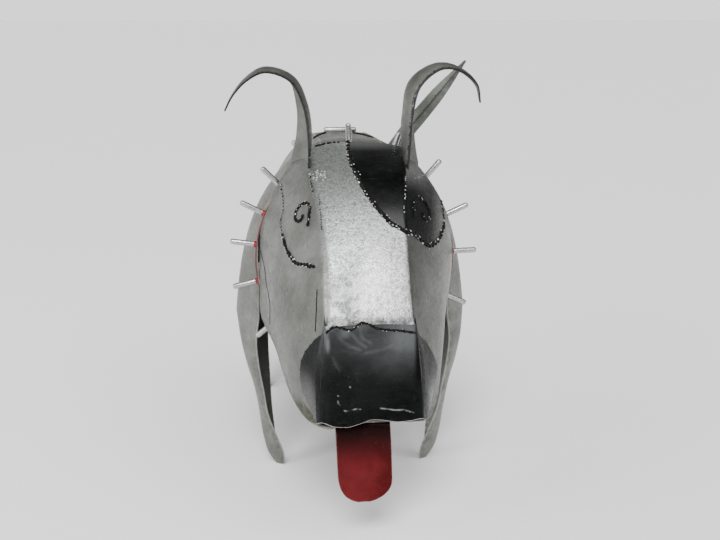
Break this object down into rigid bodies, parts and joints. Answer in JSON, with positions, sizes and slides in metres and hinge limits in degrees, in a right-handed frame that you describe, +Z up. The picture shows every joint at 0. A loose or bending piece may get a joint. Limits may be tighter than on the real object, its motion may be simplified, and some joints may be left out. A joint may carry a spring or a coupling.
{
  "type": "scrap metal dog sculpture",
  "caption": "Standing dog welded from galvanised sheet steel, with a big wedge head, hooked ears, hanging red tongue, leaf tail and a red collar set with round bar spikes.",
  "frame": {"origin": "on the ground, under the middle of the dog's bounding box", "axes": "+Z up, -Y is the way the dog faces, +X is the dog's own left"},
  "size_m": [0.3358, 0.5712, 0.482],
  "materials": {
    "galvanised_sheet": "satin grey galvanised sheet, mottled, with dirt in the seams",
    "bright_galvanised": "bright mottled galvanised sheet with fine spangle",
    "black_paint": "semi-gloss black paint over crumpled sheet, worn at the creases",
    "red_paint": "semi-gloss deep red paint, worn along the edges",
    "steel_bar": "bright drawn round bar with smooth domed ends"
  },
  "bodies": {
    "root": {"head_centre_strip": "bright_galvanised", "head_left_side": "galvanised_sheet", "head_right_side": "galvanised_sheet", "nose_plate": "black_paint", "lower_jaw": "galvanised_sheet", "tongue": "red_paint", "left_ear": "galvanised_sheet", "right_ear": "galvanised_sheet", "collar_band": "red_paint", "collar_spike_01": "steel_bar", "collar_spike_02": "steel_bar", "collar_spike_03": "steel_bar", "collar_spike_04": "steel_bar", "collar_spike_05": "steel_bar", "collar_spike_06": "steel_bar", "collar_spike_07": "steel_bar", "collar_spike_08": "steel_bar", "collar_spike_09": "steel_bar", "collar_spike_10": "steel_bar", "collar_spike_11": "steel_bar", "collar_spike_12": "steel_bar", "collar_spike_13": "steel_bar", "collar_spike_14": "steel_bar", "collar_spike_15": "steel_bar", "collar_spike_16": "steel_bar", "back_strip": "galvanised_sheet", "body_left_side": "galvanised_sheet", "body_right_side": "galvanised_sheet", "left_front_leg": "galvanised_sheet", "right_front_leg": "galvanised_sheet", "left_hind_leg": "galvanised_sheet", "right_hind_leg": "galvanised_sheet", "back_rod": "steel_bar", "tail": "galvanised_sheet"}
  },
  "joints": []
}
